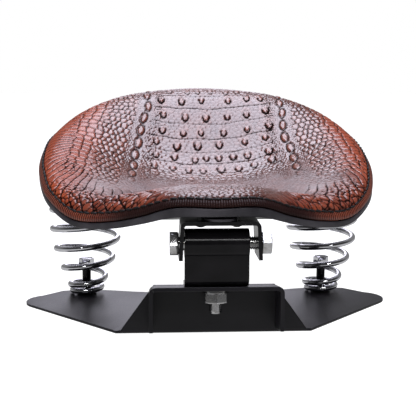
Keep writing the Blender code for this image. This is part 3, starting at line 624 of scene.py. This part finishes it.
def horned_rows(relief, x, y):
    """Horned scales, each with a moat round its sides and its lower end."""
    for number, (row, strength, places) in enumerate(HORN_ROWS):
        for place, at in enumerate(places):
            size = 0.86 + 0.28 * scatter(number, place, 5)
            drift = HORN_DRIFT * (scatter(number, place, 4) - 0.5)
            du = (x - at) / (HORN_HALF_W * size)
            dv = (y - row - drift) / (HORN_HALF_L * size)
            reach = np.hypot(du, dv)
            dome = strength * smooth_step((1.0 - reach) / 0.8)
            # The moat is deepest along the lower end, and its painted shade is strongest there.
            lower = 0.15 + 0.85 * smooth_step((0.75 - dv) / 0.9)
            moat = strength * line(reach - 1.05, 0.26) * lower
            apron = strength * smooth_step((2.3 - reach) / 0.8) * (1 - dome)
            relief.add(
                0.30 * dome - 0.42 * moat + 0.10 * apron,
                0.92 * moat,
                0.65 * dome + 0.25 * apron * (1 - moat),
            )


def row_creases(relief, middle_x, y, centre):
    """Creases that wander across the hide between the rows."""
    rows = [row for row, strength, places in HORN_ROWS]
    for number, (low, high) in enumerate(zip(rows, rows[1:])):
        wander = CREASE_WANDER * wobble(middle_x, 0 * y, 9, number)
        strength = 0.6 + 0.3 * (number % 2)
        crease = line(y - (low + high) / 2 - wander, CREASE_HALF) * centre * strength
        # Each crease is sunk and darkened with painted shade.
        relief.add(-0.30 * crease, 0.75 * crease)


def oval_columns(relief, middle_x, y):
    row = (y - 8) / OVAL_STEP
    nearest = np.floor(row) + 0.5
    sway = OVAL_SWAY * (scatter(nearest, np.sign(middle_x), 12) - 0.5)
    du = (np.abs(middle_x) - OVAL_X - sway) / OVAL_HALF_W
    dv = (row - nearest) * OVAL_STEP / OVAL_HALF_L
    reach = np.hypot(du, dv)
    shown = smooth_step((y - 5) / 25)
    # Each oval is ringed by a sunk groove darkened with painted shade.
    relief.add(
        shown * (0.55 * smooth_step((1.15 - reach) / 0.7) - 0.40 * line(reach - 1.15, 0.25)),
        shown * 0.62 * line(reach - 1.13, 0.2),
        shown * 0.5 * smooth_step((1.1 - reach) / 0.5),
    )


def fan_place(x, y, wide):
    """Number of grooves up to a place, counted round the fan, distance from the fan's
    middle, and distance from the nearest groove."""
    fan_x, fan_y = wide - FAN_PLACE[0], y - FAN_PLACE[1]
    fan_r = np.hypot(fan_x, fan_y)
    swing = np.arctan2(-fan_y, np.maximum(fan_x, -60))
    swing = np.maximum(np.where(fan_y > 0, -fan_y / 57, swing), -3)
    crowding = np.where(swing < 0, 0, 2.4 * smooth_step(swing / 1.7) * swing)
    count = swing / FAN_STEP + crowding
    count = count + 0.25 * wobble(fan_r, swing * 30, 9, 4 + np.sign(x))
    fraction = count - np.floor(count)
    spread = np.maximum(2.0, fan_r * FAN_STEP / (1 + 0.4 * np.maximum(swing, 0)))
    pitch = np.where(swing < 0, FAN_PITCH, spread)
    return count, fan_r, np.minimum(fraction, 1 - fraction) * pitch


def embossing(x, y, share):
    """Relief in millimetres, painted shade in the grooves, rubbed colour and wing warmth."""
    middle_x = x - HIDE_SHIFT - HIDE_LEAN * smooth_step((y - 90) / 40)
    wide = np.abs(middle_x)
    relief = Relief(x.shape)

    centre = between(wide, *CENTRE_ZONE) * smooth_step((y - 22) / 14)
    horned_rows(relief, x, y)
    row_creases(relief, middle_x, y, centre)
    relief.stamp(centre, middle_x, y, SMALL)

    strips = between(wide, *PEBBLE_ZONE) + 0.9 * between(wide, *OUTER_PEBBLE_ZONE)
    strips = np.clip(strips, 0, 1) * smooth_step((y + 5) / 30)
    relief.stamp(strips, middle_x, y, PEBBLES)
    oval_columns(relief, middle_x, y)

    # Cobbles, then squarer scales towards the wings.
    cobbles = between(wide, *COBBLE_ZONE) * smooth_step((y + 22) / 34)
    relief.stamp(cobbles, wide, y, COBBLES)
    squares = between(wide, *SQUARE_ZONE) * smooth_step((y + 18) / 30)
    relief.stamp(squares, wide, y, SQUARES)

    # Long grooves that fan out over the wings and the front flanks, with short rungs.
    count, fan_r, away = fan_place(x, y, wide)
    fan = smooth_step((wide - 126 + 30 * smooth_step((30 - y) / 40)) / 12)
    low_fan = smooth_step((fan_r - 74) / 14) * smooth_step((24 - y) / 24)
    low_fan *= smooth_step((wide - 56) / 24)
    fan = np.maximum(fan, low_fan)
    # The fanned grooves are darkened with painted shade.
    relief.add(fan * (0.32 * smooth_step(away / 1.4) - 0.2), fan * 0.90 * line(away, 0.42))
    relief.stamp(fan, count, fan_r, RUNGS)

    # Crumpled creases on the front flanks, finer over the nose.
    front = smooth_step((-y - 8) / 34)
    rolled = smooth_step((share - CREST_SHARE + 0.20) / 0.16)
    flank = front * rolled * smooth_step((wide - 30) / 30)
    relief.stamp(flank, count * 1.25 + 0.07 * fan_r, fan_r, CRUMPLE)
    nose = front * smooth_step((50 - wide) / 30)
    relief.stamp(nose, x, y, NOSE)
    # Painted shade on the nose's lower roll, deepening towards the seam.
    relief.groove += nose * 0.35 * smooth_step((share - 0.94) / 0.05)

    # Fine scales on the dish's floor, where none of the larger ones reach.
    bare = 1 - np.clip(centre + strips + cobbles + squares + fan + flank + nose, 0, 1)
    relief.stamp(bare, x, y, FLOOR)

    # The seam pulls the hide down, and painted shade darkens its dip.
    relief.height -= 0.9 * smooth_step((share - 0.955) / 0.045)
    relief.groove += 0.5 * smooth_step((share - 0.985) / 0.015)

    warm = np.maximum(smooth_step((wide - WARM_FROM) / WARM_OVER), 0.55 * flank)
    kept = [np.clip(values, 0, 1) for values in (relief.groove, relief.rubbed, warm)]
    return relief.height, *kept


# ------------------------------------------------------------------ seat pieces

COVER_CELLS = 480
FLESH_SHARES = (0.985, 0.95, 0.9, 0.8, 0.68, 0.54, 0.4, 0.25, 0.1)
FLESH_LOOK = {"groove": 0.3, "rubbed": 0.2, "warm": 0.0}

# The border band starts this much roll outside the seam and is hatched all round.
BAND_START = 1.5
BAND_TURNS = 2400
BAND_ROWS = 14
BAND_CROWN = 0.55
HATCHES = 400
HATCH_STEP = 2.3
HATCH_DEPTH = 0.30

# The edging's section: a box with corners as round as this power of a circle's.
TRIM_SQUARENESS = 0.45

STITCH_STEP = 6.6 * MM
STITCH_HALF_L = 3.15 * MM
STITCH_R = 0.95 * MM
STITCH_LIFT = 0.25 * MM
STITCH_LEAN = math.radians(7)

# The pan's mesh leaves a small hole in the middle, which is then filled.
PAN_HOLE_SHARE = 0.02


def disc_share(u, v):
    """A square grid laid over the round seat: angle off the rear and share of the way."""
    p = u * np.sqrt(1 - v * v / 2)
    q = v * np.sqrt(1 - u * u / 2)
    return np.degrees(np.arctan2(p, q)), np.hypot(p, q)


def unit(vectors):
    return vectors / np.maximum(np.linalg.norm(vectors, axis=-1, keepdims=True), 1e-12)


def grid_normals(points):
    """Unit normals of a square grid of points."""
    return unit(np.cross(np.gradient(points, axis=1), np.gradient(points, axis=0)))


def grid_mesh(cells):
    """A flat square grid, two units wide, and each vertex's row and column."""
    mesh_data = bmesh.new()
    bmesh.ops.create_grid(mesh_data, x_segments=cells, y_segments=cells, size=1.0)
    flat = vertex_places(mesh_data.verts)
    column = np.rint((flat[:, 0] + 1) / 2 * cells).astype(int)
    row = np.rint((flat[:, 1] + 1) / 2 * cells).astype(int)
    return mesh_data, row, column


def vertex_places(vertices):
    return np.array([vertex.co for vertex in vertices])


def set_places(vertices, places):
    for vertex, place in zip(vertices, places):
        vertex.co = place


def set_looks(mesh_data, **looks):
    """The numbers on each vertex that the leather's finish reads."""
    for name, values in looks.items():
        layer = mesh_data.verts.layers.float.new(name)
        for vertex, value in zip(mesh_data.verts, values):
            vertex[layer] = value


def turn_off_rear(places):
    """Angle in degrees round the seat's middle, as the half tables count it."""
    return np.degrees(np.arctan2(places[:, 0], places[:, 1] - SEAT_MIDDLE_Y))


def leather_cover():
    """The embossed hide, closed by its flesh side."""
    mesh_data, row, column = grid_mesh(COVER_CELLS)
    ruler = np.linspace(-1, 1, COVER_CELLS + 1)
    angle, share = disc_share(*np.meshgrid(ruler, ruler))
    points = cover_point(angle, share)
    height, groove, rubbed, warm = embossing(*hide_place(angle, share), share)
    points = points + grid_normals(points) * (height * MM)[..., None]
    set_places(mesh_data.verts, points[row, column])
    set_looks(
        mesh_data, groove=groove[row, column], rubbed=rubbed[row, column], warm=warm[row, column]
    )

    # The flesh side: the edge turned in, then followed back to the middle.
    rim = [edge for edge in mesh_data.edges if edge.is_boundary]
    layers = mesh_data.verts.layers.float
    for flesh_share in FLESH_SHARES:
        grown = bmesh.ops.extrude_edge_only(mesh_data, edges=rim)["geom"]
        rim = [g for g in grown if isinstance(g, bmesh.types.BMEdge)]
        ring = [g for g in grown if isinstance(g, bmesh.types.BMVert)]
        turn = turn_off_rear(vertex_places(ring))
        inner = cover_point(turn, 0 * turn + flesh_share)
        inner[:, 2] -= LEATHER_T
        set_places(ring, inner)
        for name, value in FLESH_LOOK.items():
            for vertex in ring:
                vertex[layers[name]] = value
    bmesh.ops.contextual_create(mesh_data, geom=rim)
    bmesh.ops.recalc_face_normals(mesh_data, faces=mesh_data.faces)
    item = finished("leather_cover_finished", mesh_data, FINISHES["leather"], 180)
    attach(item, "seat")
    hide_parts("leather_cover", "foam_cushion")


def ring_strip(turns, rows, placed):
    """A strip round the seat, closed on itself: placed(angle, row share) gives points."""
    mesh_data = bmesh.new()
    bmesh.ops.create_grid(mesh_data, x_segments=turns, y_segments=rows, size=1.0)
    flat = vertex_places(mesh_data.verts)
    angle = (flat[:, 0] + 1) * 180
    share = (flat[:, 1] + 1) / 2
    set_places(mesh_data.verts, placed(angle, share))
    bmesh.ops.remove_doubles(mesh_data, verts=mesh_data.verts, dist=0.02 * MM)
    bmesh.ops.recalc_face_normals(mesh_data, faces=mesh_data.faces)
    return mesh_data


def there_and_back(share):
    """Whether a row is on the way out, and how far along it is: 0 to 1, then 1 to 0."""
    going = share < 0.5
    return going, np.where(going, share / 0.5, (1 - share) / 0.5)


def hatch_distance(angle):
    """How far a place on the band is from the nearest hatch."""
    fraction = np.mod(angle / 360 * HATCHES, 1)
    return np.minimum(fraction, 1 - fraction) * HATCH_STEP


def band_outline(angle, share):
    """Border band: down its outer face, round its lower edge and up its inner face."""
    top = seam_roll(angle) + BAND_START
    outer, way = there_and_back(share)
    roll = top + (90 - top) * way
    place = roll_point(angle, roll)
    ahead = roll_point(angle + 0.5, roll)
    down = roll_point(angle, np.minimum(roll + 1, 91))
    normal = unit(np.cross(ahead - place, down - place))
    outward = seat_point(angle, 1.0, 0) - seat_point(angle, 0.0, 0)
    normal *= np.sign(np.sum(normal * outward, axis=-1, keepdims=True))
    crown = BAND_CROWN * np.sin(np.pi * np.clip(way, 0, 1))
    crown -= HATCH_DEPTH * line(hatch_distance(angle), 0.42)
    return place + normal * np.where(outer, crown * MM, -LEATHER_T)[..., None]


def border_band():
    """Hatched band, with painted shade in the hatches, plain and darkened by painted shade under the nose.
    """
    mesh_data = ring_strip(BAND_TURNS, BAND_ROWS, band_outline)
    turn = np.mod(turn_off_rear(vertex_places(mesh_data.verts)), 360)
    # Painted shade covers the band under the nose: its groove mark rises and its rubbed and warm colours
    # fade.
    shaded = smooth_step((58 - np.abs(turn - 180)) / 26)
    groove = np.maximum(0.85 * line(hatch_distance(turn), 0.45), 0.62 * shaded)
    set_looks(mesh_data, groove=groove, rubbed=0.7 * (1 - shaded), warm=0.35 * (1 - shaded))
    item = finished("border_band_finished", mesh_data, FINISHES["leather"], 70)
    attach(item, "seat")
    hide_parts("border_band")


def trim_outline(angle, share):
    turn = share * 2 * np.pi
    side, rise = (
        np.sign(wave) * np.abs(wave) ** TRIM_SQUARENESS for wave in (np.cos(turn), np.sin(turn))
    )
    top = around(EDGE_Z, angle) - GAP
    height = around(TRIM_H, angle) - GAP
    reach = around(RIM_R, angle) - TRIM_T / 2 + side * (TRIM_T - GAP) / 2
    return seat_point(angle, reach, top - height / 2 + rise * (height / 2 - 0.1 * MM))


def edge_trim():
    """Edging strip with rounded corners."""
    mesh_data = ring_strip(360, 20, trim_outline)
    item = finished("edge_trim_finished", mesh_data, FINISHES["trim_rubber"], 60)
    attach(item, "seat")
    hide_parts("edge_trim")


def rim_stitches():
    """Separate stitches round the seam, each one dipping into its holes."""
    turns = np.arange(0, 360, 0.25)
    path = roll_point(turns, seam_roll(turns))
    out = path - roll_point(turns, seam_roll(turns) - 4)
    loop = np.concatenate([path, path[:1]])
    steps = np.linalg.norm(np.diff(loop, axis=0), axis=1)
    lengths = np.concatenate([[0], np.cumsum(steps)])
    count = round(lengths[-1] / STITCH_STEP)
    size = Matrix.Diagonal((STITCH_HALF_L, STITCH_R, STITCH_R, 1.0))
    lain_down = Matrix.Rotation(math.pi / 2, 4, "Y")
    stitch = Matrix.Rotation(STITCH_LEAN, 4, "Z") @ size @ lain_down
    whole = bmesh.new()
    for number in range(count):
        at = (number + 0.5) * lengths[-1] / count
        index = int(np.searchsorted(lengths, at)) % len(turns)
        after = (index + 4) % len(turns)
        before = (index - 4) % len(turns)
        way = Vector(path[after] - path[before]).normalized()
        side = Vector(out[index]).normalized()
        up = way.cross(side).normalized()
        if up.dot(Vector(path[index]) - Vector((0, SEAT_MIDDLE_Y, DISH_Z))) < 0:
            up = -up
        side = way.cross(up).normalized()
        turn = Matrix((way, side, up)).transposed().to_4x4()
        centre = Vector(path[index]) + up * STITCH_LIFT
        bmesh.ops.create_uvsphere(
            whole, u_segments=8, v_segments=7, radius=1.0,
            matrix=Matrix.Translation(centre) @ turn @ stitch,
        )
    item = finished("rim_stitches", whole, FINISHES["thread"], 180)
    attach(item, "seat")
    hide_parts("rim_stitching")


def pan_outline(angle, share):
    under, way = there_and_back(share)
    place = pan_point(angle, PAN_HOLE_SHARE + (1 - PAN_HOLE_SHARE) * way)
    place[..., 2] += np.where(under, 0.0, PAN_T)
    return place


def seat_pan():
    """Pressed pan with a smooth underside."""
    mesh_data = ring_strip(240, 96, pan_outline)
    ends = [edge for edge in mesh_data.edges if edge.is_boundary]
    bmesh.ops.holes_fill(mesh_data, edges=ends, sides=0)
    bmesh.ops.recalc_face_normals(mesh_data, faces=mesh_data.faces)
    item = finished("seat_pan_finished", mesh_data, FINISHES["pan_black"], 50)
    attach(item, "seat")
    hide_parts("seat_pan")


# ------------------------------------------------------------------ springs and bolts

# One coil: close turns at both ends, open ones between, on a cone that ends in a
# cylinder. The pitch changes in sixteenths of a turn.
WIRE_R = 2.6 * MM
FOOT_COIL_R = 15 * MM
TOP_COIL_R = 32 * MM
CONE_H = 62 * MM
CONE_LEAD = 0.3 * MM
SPRING_TURNS = 5.6
COIL_STEPS = 48
PITCH_STEPS = 16
OPEN_PITCH = 17.6 * MM
CLOSED_PITCH = 5.0 * MM
OPENS_AT_TURN = 0.75
CLOSES_AT_TURN = 4.65
OPENING_TURNS = 0.8

# M10 bolts with hexagon heads.
BOLT_R = 5 * MM
BOLT_AF = 16 * MM
BOLT_HEAD_H = 6 * MM
BOLT_HEAD_EDGE = 0.35 * MM
BOLT_END = 0.8 * MM
THREAD_PITCH = 1.5 * MM
THREAD_ROOT = 0.1 * MM
THREAD_STEPS = 28


def coil_points(foot):
    """Middle line of one spring's wire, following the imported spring."""
    points = []
    start = SPRING_LOW_Z + WIRE_R
    z = start
    for step in range(round(SPRING_TURNS * COIL_STEPS) + 1):
        turn = step / COIL_STEPS
        angle = math.pi + 2 * math.pi * turn
        rise = min(1.0, max(0.0, (z - start + CONE_LEAD) / CONE_H))
        widen = math.sin(rise * math.pi / 2) ** 1.15
        reach = FOOT_COIL_R + (TOP_COIL_R - FOOT_COIL_R) * widen - WIRE_R
        x = foot.x + reach * math.cos(angle)
        y = foot.y + reach * math.sin(angle)
        points.append(Vector((x, y, z)))
        held = math.floor(turn * PITCH_STEPS) / PITCH_STEPS
        opening = float(smooth_step((held - OPENS_AT_TURN) / OPENING_TURNS))
        closing = 1 - float(smooth_step((held - CLOSES_AT_TURN) / OPENING_TURNS))
        pitch = CLOSED_PITCH + (OPEN_PITCH - CLOSED_PITCH) * opening * closing
        z += pitch / COIL_STEPS
    return points


def spring(side, foot):
    """A round wire on the coil's middle line, held by the plate and by the seat."""
    path = bpy.data.curves.new(f"coil_{side}", "CURVE")
    path.dimensions = "3D"
    strand = path.splines.new("POLY")
    points = coil_points(foot)
    strand.points.add(len(points) - 1)
    for knot, place in zip(strand.points, points):
        knot.co = (*place, 1.0)
    path.bevel_depth = WIRE_R
    path.bevel_resolution = 6
    path.use_fill_caps = True
    wire = bpy.data.objects.new(f"coil_{side}", path)
    bpy.context.scene.collection.objects.link(wire)
    bpy.context.view_layer.update()
    depsgraph = bpy.context.evaluated_depsgraph_get()
    made = bpy.data.meshes.new_from_object(wire.evaluated_get(depsgraph))
    bpy.data.objects.remove(wire)
    mesh_data = bmesh.new()
    mesh_data.from_mesh(made)
    bmesh.ops.remove_doubles(mesh_data, verts=mesh_data.verts, dist=0.01 * MM)
    item = finished(f"spring_{side}_finished", mesh_data, FINISHES["chrome"], 60)
    low = (foot.x, foot.y, SPRING_LOW_Z + 2 * WIRE_R)
    high = (foot.x, foot.y, SPRING_HIGH_Z - 2 * WIRE_R)
    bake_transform(item, "base", "seat", start=low, end=high)
    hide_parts(f"spring_{side}")


def bar(whole, low_r, high_r, depth, middle_z, segments=40, turned=0.0):
    """A round or many-sided bar along Z."""
    bmesh.ops.create_cone(
        whole, cap_ends=True, segments=segments, radius1=low_r, radius2=high_r, depth=depth,
        matrix=Matrix.Translation((0, 0, middle_z)) @ Matrix.Rotation(turned, 4, "Z"),
    )


def helical_thread(whole, core, start, turns):
    """A ridge wound round a bar from a height upwards."""
    tooth = bmesh.new()
    corners = (
        (core - THREAD_ROOT, -0.49),
        (BOLT_R, -0.07),
        (BOLT_R, 0.07),
        (core - THREAD_ROOT, 0.49),
    )
    profile = [tooth.verts.new((r, 0, start + h * THREAD_PITCH)) for r, h in corners]
    face = tooth.faces.new(profile)
    steps = round(turns * THREAD_STEPS)
    bmesh.ops.spin(
        tooth, geom=[face, *face.edges, *face.verts], cent=(0, 0, 0), axis=(0, 0, 1),
        dvec=(0, 0, THREAD_PITCH * turns / steps), angle=2 * math.pi * turns, steps=steps,
        use_merge=False, use_normal_flip=False, use_duplicate=False,
    )
    bmesh.ops.recalc_face_normals(tooth, faces=tooth.faces)
    ridge = bpy.data.meshes.new("ridge")
    tooth.to_mesh(ridge)
    tooth.free()
    whole.from_mesh(ridge)
    bpy.data.meshes.remove(ridge)


def threaded(node, axis, body, head_end):
    """A hex bolt along an axis, its head at one end of the CAD bolt's box."""
    low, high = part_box(node)
    index = "xyz".index(axis)
    length = high[index] - low[index]
    whole = bmesh.new()
    corner_r = BOLT_AF / 2 / math.cos(math.pi / 6)
    bar(whole, corner_r, corner_r, BOLT_HEAD_H, BOLT_HEAD_H / 2, 6, math.pi / 6)
    bmesh.ops.bevel(
        whole, geom=whole.edges[:], offset=BOLT_HEAD_EDGE, segments=2, profile=0.5,
        affect="EDGES", material=-1,
    )
    # The washer face under the head, the threaded core and the plain shank.
    face_r = BOLT_AF / 2
    bar(whole, face_r * 1.02, face_r * 0.99, 0.5 * MM, BOLT_HEAD_H + 0.15 * MM)
    core = BOLT_R - 0.55 * THREAD_PITCH
    bar(whole, core, core, length - 0.2 * MM, length / 2)
    shank = 0.35 * length
    bar(whole, BOLT_R, BOLT_R, shank, BOLT_HEAD_H * 0.5 + shank / 2)
    start = BOLT_HEAD_H * 0.5 + shank - THREAD_PITCH
    helical_thread(whole, core, start, (length - start - BOLT_END) / THREAD_PITCH)

    direction = Vector([1.0 if k == index else 0.0 for k in range(3)])
    origin = (low + high) / 2
    if head_end == "low":
        origin[index] = low[index]
    else:
        origin[index] = high[index]
        direction = -direction
    turn = direction.to_track_quat("Z", "Y").to_matrix().to_4x4()
    whole.transform(Matrix.Translation(origin) @ turn)
    item = finished(f"{node}_finished", whole, FINISHES["zinc_plate"], 35)
    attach(item, body)
    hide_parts(node)


# ------------------------------------------------------------------ studio

FLOOR_Z = -0.2 * MM

# Name, place, aim, width, height, power, colour and whether gloss mirrors it.
COOL, COOLER, WHITE = (0.88, 0.86, 1.0), (0.84, 0.86, 1.0), (1, 1, 1)
SOFTBOXES = (
    ("overhead", (0.02, 0.10, 1.5), (0.02, 0.0, 0.1), 0.80, 1.5, 29, COOLER, True),
    ("rear_panel", (0.0, 1.8, 0.85), (0, 0, 0.3), 0.85, 1.6, 7.5, COOL, True),
    ("front_strip", (0.0, -1.5, 1.1), (0, 0, 0.07), 1.6, 0.12, 11.0, WHITE, True),
    ("left_front", (-1.15, -0.75, 1.35), (0, 0, 0.12), 0.5, 1.0, 18, WHITE, False),
    ("right_front", (1.15, -0.7, 1.35), (0, 0, 0.12), 0.5, 1.0, 21, WHITE, False),
)

CAMERA_PLACE = Vector((-0.0493, -0.8164, 0.2038))
CAMERA_YAW = math.radians(3.54)
CAMERA_PITCH = math.radians(8.47)
CAMERA_ROLL = math.radians(0.21)
CAMERA_LENS = 83.08


def sweep():
    """White paper under the seat, which gloss doesn't mirror."""
    floor = bmesh.new()
    bmesh.ops.create_grid(floor, x_segments=1, y_segments=1, size=6.0)
    paper = Finish(
        "paper_sweep", Roughness=0.9, Emission_Strength=1.0, Emission_Color=(1.0, 1.0, 1.0)
    )
    paper.colour(paper.mix(paper.noise(3, 2), (0.20, 0.20, 0.20), (0.22, 0.22, 0.22)))
    item = finished("floor_sweep", floor, paper.material)
    item.location.z = FLOOR_Z
    item.visible_glossy = False


def softbox(name, place, target, width, height, power, colour, mirrored):
    data = bpy.data.lights.new(name, "AREA")
    data.shape = "RECTANGLE"
    data.size = width
    data.size_y = height
    data.energy = power
    data.color = colour
    lamp = bpy.data.objects.new(name, data)
    bpy.context.scene.collection.objects.link(lamp)
    lamp.location = place
    aim = Vector(target) - Vector(place)
    lamp.rotation_euler = aim.to_track_quat("-Z", "Y").to_euler()
    lamp.visible_camera = False
    lamp.visible_glossy = mirrored


def studio_air():
    """World light: brighter towards the rear and below the horizon, white to the camera."""
    world = bpy.data.worlds.new("studio_air")
    bpy.context.scene.world = world
    world.use_nodes = True
    tree = world.node_tree

    def ramp(source, low, high, to_low, to_high, shape="LINEAR"):
        node = tree.nodes.new("ShaderNodeMapRange")
        node.interpolation_type = shape
        for key, value in (("From Min", low), ("From Max", high),
                           ("To Min", to_low), ("To Max", to_high)):
            node.inputs[key].default_value = value
        tree.links.new(source, node.inputs["Value"])
        return node.outputs["Result"]

    def brighter(first, second):
        node = tree.nodes.new("ShaderNodeMath")
        node.operation = "MAXIMUM"
        tree.links.new(first, node.inputs[0])
        tree.links.new(second, node.inputs[1])
        return node.outputs["Value"]

    split = tree.nodes.new("ShaderNodeSeparateXYZ")
    tree.links.new(tree.nodes.new("ShaderNodeTexCoord").outputs["Generated"], split.inputs[0])
    rear = ramp(split.outputs["Y"], -0.25, 0.55, 0.04, 0.22, "SMOOTHSTEP")
    ground = ramp(split.outputs["Z"], 0.0, -0.06, 0.0, 0.50)
    to_camera = tree.nodes.new("ShaderNodeLightPath").outputs["Is Camera Ray"]
    background = tree.nodes["Background"]
    background.inputs["Color"].default_value = (1.0, 1.0, 1.0, 1.0)
    strength = brighter(brighter(rear, ground), to_camera)
    tree.links.new(strength, background.inputs["Strength"])


def camera():
    data = bpy.data.cameras.new("camera")
    data.lens = CAMERA_LENS
    data.sensor_width = 36.0
    item = bpy.data.objects.new("camera", data)
    bpy.context.scene.collection.objects.link(item)
    item.matrix_world = (
        Matrix.Translation(CAMERA_PLACE)
        @ Matrix.Rotation(-CAMERA_YAW, 4, "Z")
        @ Matrix.Rotation(math.pi / 2 - CAMERA_PITCH, 4, "X")
        @ Matrix.Rotation(CAMERA_ROLL, 4, "Z")
    )
    bpy.context.scene.camera = item
    bpy.context.scene.view_settings.view_transform = "Standard"


camera()
sweep()
for box_values in SOFTBOXES:
    softbox(*box_values)
studio_air()
dress_frame()

worked("base_plate", "base", "powder_black", 0.5)
worked("front_bracket", "base", "powder_black", 0.8)
worked("hinge_block", "base", "gloss_black", 0.7)
worked("pivot_bracket", "seat", "gloss_black", 0.7)
for side in ("left", "right"):
    worked(f"spring_post_{side}", "base", "gloss_black", 0.4)
    worked(f"post_bolt_{side}", "base", "chrome", 0.3, angle=30)
for side, foot in zip(("left", "right"), SPRING_FOOT):
    spring(side, foot)
threaded("foot_bolt", "z", "base", "high")
threaded("pivot_bolt", "x", "seat", "low")
for node, body in (("foot_nut", "base"), ("foot_washer", "base"), ("pivot_nut", "seat")):
    worked(node, body, "zinc_plate", 0.3, angle=28)
leather_cover()
border_band()
edge_trim()
rim_stitches()
seat_pan()
